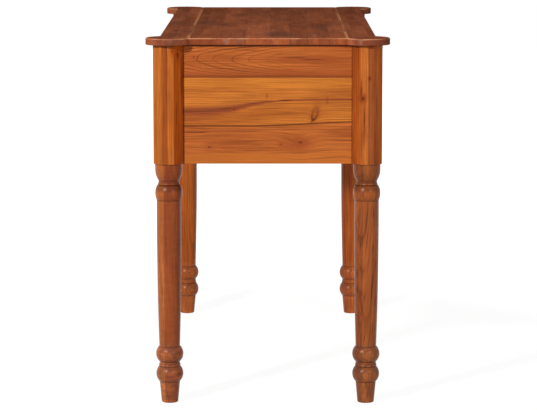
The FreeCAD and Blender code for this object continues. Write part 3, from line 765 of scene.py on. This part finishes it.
def top_finish(name, seed, staves, joints, end_light, marks=(), clouds=()):
    """Red-brown staves along the desk, clouded grey-black, with end grain and pale joint lines."""
    recipe = new_finish(name)
    point = recipe.point()
    number, level = stave_at(point.y, staves)
    luck = recipe.chance(number + seed)
    butted = (point.x / STAVE_LENGTH + luck * 9).math("FLOOR")
    level = level * (0.84 + recipe.chance(butted * 3.7 + number * 17 + seed) * 0.32)
    spot = (point.x + luck * 2.7 + butted * 0.7, point.y + luck * 0.2, point.z - TOP_HEART_Z - luck * 0.03)
    figure = grain(recipe, spot, number * 5.1 + seed, TOP_CUT)
    stain = Stain(recipe, figure, timber(recipe, figure, MAHOGANY))
    flat = (point.x, point.y, 0.0)
    stain.add(TOP_SMOKE, recipe.flecks(flat, TOP_SMOKE_SIZE, seed + 30, 4.0).rise(-0.02, 0.2), 0.7)
    stain.add(TOP_GLOW, recipe.flecks(flat, TOP_GLOW_SIZE, seed + 33, 3.0).rise(0.02, 0.22), 0.6)
    for cloud in clouds:
        stain.add(TOP_SMOKE, away_from(cloud, point.y, point.x).fall(0.1, 1.6), 0.65)
    # Each stave's own lightness, and darker towards the far end: painted shade of the lamps' falloff.
    stain.shade((0.3 + 0.7 * level) * (0.99 + point.x * 0.1))
    facing = recipe.parts(recipe.normal())
    stain.add(end_grain(recipe, point, figure, level, end_light, seed), abs(facing.x).rise(0.6, 0.9))
    for mark in marks:
        stain.add(MAHOGANY.line, away_from(mark, point.y, point.x).fall(0.3, 1.4), 0.7)
    # A pale line on the rounded arrises: painted highlight with rubbed wear, broken up in patches.
    arris_breaks = recipe.flecks(flat, ARRIS_BREAK_SIZE, seed + 35, 3.0).rise(-0.12, 0.12)
    stain.add(TOP_ARRIS_WEAR_AND_HIGHLIGHT, facing.z.band(0.3, 0.9, 0.15), 0.15 + arris_breaks * 0.65)
    for joint in joints:
        whole = recipe.noise((point.x / JOINT_BREAK_LENGTH, 0.0, 0.0), joint * 40, 0.0).rise(-0.1, 0.02)
        line = stroke(point.y - joint, JOINT_HALF_WIDTH) * facing.z.rise(0.2, 0.6)
        stain.add(JOINT_PALE, line, 0.18 + whole * 0.72)
    return lacquered(stain, roughness=0.5, **DULL)


# Drawer bottoms, and the metal of the fasteners
PLY = 0.002
PLYWOOD_CUT = Cut(0.02, 0.05, 0.06)
PLYWOOD_DEPTH = 0.3
METAL_BLOTCH = 0.004
SCRATCH_LENGTH = 0.004
SCRATCH_WIDTH = 0.0003
SCRATCH_DEPTH = 0.0002


def plywood_finish(name, seed):
    """Thin sheet with a pale rotary-cut face and three plies showing at its edges."""
    recipe = new_finish(name)
    point = recipe.point()
    figure = grain(recipe, (point.x, point.y, point.z * 0.2 + PLYWOOD_DEPTH), seed, PLYWOOD_CUT)
    stain = Stain(recipe, figure, timber(recipe, figure, PALE))
    upright = abs(recipe.parts(recipe.normal()).z).fall(0.4, 0.7)
    ply = (point.z / PLY).math("FRACT").band(0.3, 0.7, 0.1)
    stain.add(PALE.line, upright * ply, 0.6)
    return lacquered(stain, **PLANED)


def metal_finish(name, colour, dull, seed, roughness):
    """Plated metal: faint blotches and fine scratches."""
    recipe = new_finish(name)
    point = recipe.point()
    blotch = recipe.flecks((point.x, point.y, point.z), (METAL_BLOTCH, METAL_BLOTCH), seed, 3.0)
    scratch_place = (point.x / SCRATCH_WIDTH, point.y / SCRATCH_WIDTH, point.z / SCRATCH_LENGTH)
    scratch = recipe.noise(scratch_place, seed + 1)
    bump = recipe.node("ShaderNodeBump", {}, {
        "Strength": 0.15,
        "Distance": SCRATCH_DEPTH,
        "Height": scratch,
    })
    shader = recipe.node("ShaderNodeBsdfPrincipled", {}, {
        "Base Color": recipe.mix(blotch.rise(-0.15, 0.2), dull, colour),
        "Metallic": 1.0,
        "Roughness": roughness + blotch * 0.3 + scratch * 0.2,
        "Normal": bump,
    })
    recipe.node("ShaderNodeOutputMaterial", {}, {"Surface": shader})
    return recipe.owner


# The carcass
LENGTHWISE = ("x", "z", "y")
CROSSWISE = ("y", "z", "x")
RAILS = ("front_top_rail", "front_middle_rail", "front_divider_rail_left", "front_divider_rail_right",
         "front_bottom_rail_left", "front_bottom_rail_right")
INNER_PANELS = ("inner_panel_left", "inner_panel_right")
BACK_PANELS = ("back_upper_panel", "back_lower_panel_left", "back_lower_panel_right")


def dress_carcass():
    dress("end_panel_right", end_panel_finish("end_panel_right_wood", facing=1, seed=3.0))
    dress("end_panel_left", end_panel_finish("end_panel_left_wood", facing=-1, seed=41.0))
    for index, (corner, turning) in enumerate(LEGS.items()):
        dress(f"post_{corner}", post_finish(corner, POSTS[corner], seed=60.0 + 7 * index))
        foot = middle(f"leg_{corner}")
        foot.z = 0.0
        leg = turned_finish(f"leg_{corner}_wood", foot, "z", seed=90.0 + 13 * index, turning=turning)
        dress(f"leg_{corner}", leg)
    for index, name in enumerate(RAILS):
        rail = board_finish(f"{name}_wood", LENGTHWISE, seed=130.0 + 3 * index, palette=ORANGE, width=0.2)
        dress(name, rail)
    for index, name in enumerate(INNER_PANELS):
        panel = board_finish(f"{name}_wood", CROSSWISE, seed=160.0 + 5 * index, palette=ORANGE, width=0.083,
                             **DULL)
        dress(name, panel)
    for index, name in enumerate(BACK_PANELS):
        panel = board_finish(f"{name}_wood", LENGTHWISE, seed=180.0 + 5 * index, palette=ORANGE, width=0.075)
        dress(name, panel)


def dress_top():
    middle_panel = top_finish("top_middle_wood", seed=5.0, staves=MIDDLE_STAVES,
                              joints=(-TOP_JOINT, TOP_JOINT), end_light=MIDDLE_END, clouds=(TOP_CLOUD,))
    front_board = top_finish("top_front_wood", seed=15.0, staves=FRONT_STAVES, joints=(-TOP_JOINT,),
                             end_light=LOBE_END, marks=(TOP_KNOT,))
    back_board = top_finish("top_back_wood", seed=25.0, staves=BACK_STAVES, joints=(TOP_JOINT,),
                            end_light=LOBE_END)
    dress("top_middle_panel", middle_panel)
    dress("top_front_board", front_board)
    dress("top_back_board", back_board)


# The drawers
DRAWERS = ("left_lower_drawer", "left_upper_drawer", "middle_drawer",
           "right_lower_drawer", "right_upper_drawer")
FRONT_CUT = Cut(0.0036, 0.03, 0.008)
PLANED_BOARD = {"palette": PALE, "width": 0.3, **PLANED}


def dress_drawer(drawer, seed):
    front = board_finish(f"{drawer}_front_wood", LENGTHWISE, seed, AMBER, FRONT_CUT, width=0.13, heart=0.025)
    knob = turned_finish(f"{drawer}_knob_wood", middle(f"{drawer}_knob"), "y", seed + 1, KNOB)
    sides = board_finish(f"{drawer}_side_wood", CROSSWISE, seed + 2, **PLANED_BOARD)
    back = board_finish(f"{drawer}_back_wood", LENGTHWISE, seed + 3, **PLANED_BOARD)
    bottom = plywood_finish(f"{drawer}_bottom_wood", seed + 4)
    dress(f"{drawer}_front", front)
    dress(f"{drawer}_knob", knob)
    dress(f"{drawer}_sides", sides)
    dress(f"{drawer}_back", back)
    dress(f"{drawer}_bottom", bottom)


def dress_hidden_pieces():
    """Runners, cleats and fasteners."""
    dress("drawer_runners", board_finish("runner_wood", CROSSWISE, seed=300.0, **PLANED_BOARD))
    dress("top_cleats", board_finish("cleat_wood", CROSSWISE, seed=310.0, **PLANED_BOARD))
    zinc = metal_finish("zinc_steel", tint(190, 192, 196), tint(140, 142, 146), seed=320.0, roughness=0.35)
    brass = metal_finish("insert_brass", tint(212, 176, 104), tint(164, 126, 66), seed=330.0, roughness=0.32)
    for name in ("leg_bolts", "top_screws", *(f"{drawer}_knob_screw" for drawer in DRAWERS)):
        dress(name, zinc)
    dress("leg_inserts", brass)


# Studio: white floor and surround, a small strong lamp to the left of the camera, and a larger weak one to
# its right
WHITE = (1.0, 1.0, 1.0, 1.0)
FLOOR_GREY = tint(185, 185, 185)
FLOOR_REACH = 9.0
FLOOR_DROP = 0.0005
FLOOR_GLOW = 1.33
ROOM_LEVEL = 0.25
LAMP_AIM = Vector((0.5, 0.0, 0.45))
CAMERA_PLACE = Vector((5.45935, 0.0154, 1.12009))
CAMERA_AIM = Vector((0.0, 0.0001, 0.34233))
CAMERA_LENS = 162.62


def background_rays(recipe):
    """1 for the rays that see the background: the camera's, and those from gloss and glass."""
    camera_ray = recipe.node("ShaderNodeLightPath", {}, {}, "Is Camera Ray")
    glossy = camera_ray.other("Is Glossy Ray")
    return camera_ray.math("MAXIMUM", glossy).math("MAXIMUM", camera_ray.other("Is Transmission Ray"))


def make_floor():
    """White far off. Near the desk a share of it is matt and shows the desk's shadow."""
    mesh = bpy.data.meshes.new("floor")
    signs = ((-1, -1), (1, -1), (1, 1), (-1, 1))
    corners = [(x * FLOOR_REACH, y * FLOOR_REACH, -FLOOR_DROP) for x, y in signs]
    mesh.from_pydata(corners, [], [(0, 1, 2, 3)])
    floor = bpy.data.objects.new("floor", mesh)
    bpy.context.scene.collection.objects.link(floor)
    recipe = new_finish("floor_white")
    matt = recipe.node("ShaderNodeBsdfDiffuse", {}, {"Color": FLOOR_GREY})
    glow = recipe.node("ShaderNodeEmission", {}, {"Color": WHITE, "Strength": FLOOR_GLOW})
    place = recipe.point()
    away = (place.x * place.x + place.y * place.y).math("SQRT")
    share = background_rays(recipe) * (0.7 + away.rise(0.7, 1.5) * 0.3)
    both = recipe.node("ShaderNodeMixShader", {}, {0: share, 1: matt, 2: glow})
    recipe.node("ShaderNodeOutputMaterial", {}, {"Surface": both})
    mesh.materials.append(recipe.owner)


def make_surround():
    world = bpy.data.worlds.new("studio")
    bpy.context.scene.world = world
    recipe = Recipe(world)
    strength = ROOM_LEVEL + background_rays(recipe) * (1 - ROOM_LEVEL)
    glow = recipe.node("ShaderNodeBackground", {}, {"Color": WHITE, "Strength": strength})
    recipe.node("ShaderNodeOutputWorld", {}, {"Surface": glow})


def softbox(name, place, size, level):
    """A square lamp turned to the desk. Its level is the share that it adds to a facing white surface."""
    lamp = bpy.data.lights.new(name, "AREA")
    lamp.shape = "SQUARE"
    lamp.size = size
    way = LAMP_AIM - Vector(place)
    lamp.energy = level * math.pi ** 2 * way.length_squared
    item = bpy.data.objects.new(name, lamp)
    item.location = place
    item.rotation_euler = way.to_track_quat("-Z", "Y").to_euler()
    bpy.context.scene.collection.objects.link(item)


def make_camera():
    """In front of the desk's right-hand end, a little above the top."""
    camera = bpy.data.objects.new("camera", bpy.data.cameras.new("camera"))
    camera.data.sensor_fit = "HORIZONTAL"
    camera.data.sensor_width = 36.0
    camera.data.lens = CAMERA_LENS
    camera.location = CAMERA_PLACE
    camera.rotation_euler = (CAMERA_AIM - CAMERA_PLACE).to_track_quat("-Z", "Y").to_euler()
    bpy.context.scene.collection.objects.link(camera)
    bpy.context.scene.camera = camera


dress_carcass()
dress_top()
for index, drawer in enumerate(DRAWERS):
    dress_drawer(drawer, seed=210.0 + 12 * index)
dress_hidden_pieces()

make_floor()
make_surround()
softbox("key_softbox", place=(3.0, -1.95, 1.95), size=0.2, level=0.85)
softbox("fill_softbox", place=(3.0, 1.9, 1.4), size=0.5, level=0.2)
make_camera()
bpy.context.scene.view_settings.view_transform = "Standard"
